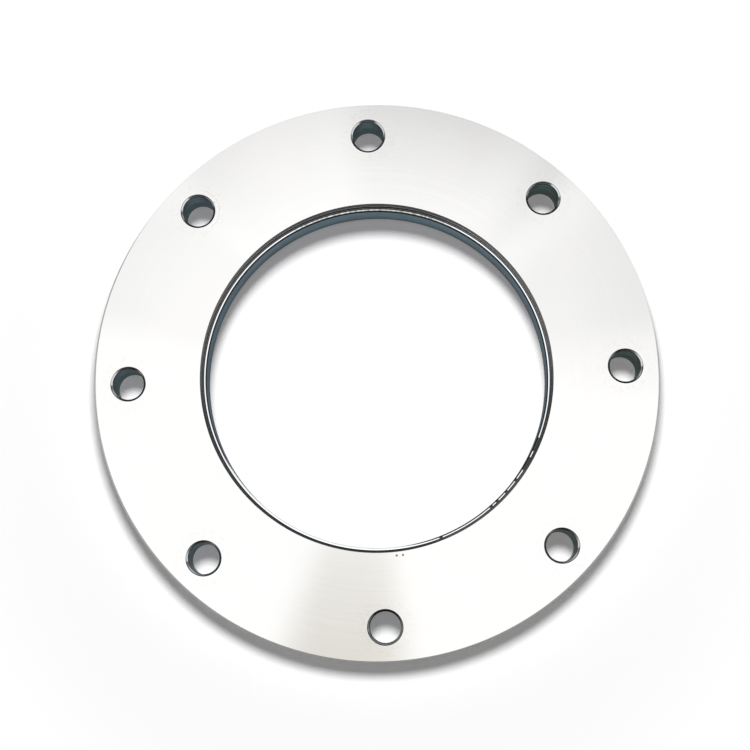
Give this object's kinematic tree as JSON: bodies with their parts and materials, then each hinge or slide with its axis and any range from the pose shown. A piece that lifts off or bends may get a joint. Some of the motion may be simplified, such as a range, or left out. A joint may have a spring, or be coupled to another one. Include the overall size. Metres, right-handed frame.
{
  "type": "vacuum flange",
  "caption": "Flat round vacuum flange turned in one piece, with a stepped bore that seats a centring ring and a circle of countersunk bolt holes.",
  "frame": {"origin": "centre of the bore on the back face, which the flange lies on", "axes": "+Z along the bore axis, from the back face to the sealing face; +X through the centre of a bolt hole"},
  "size_m": [0.165, 0.165, 0.012],
  "materials": {
    "flange": "fine turned and satin finished stainless steel"
  },
  "bodies": {
    "root": {"flange": "flange"}
  },
  "joints": []
}
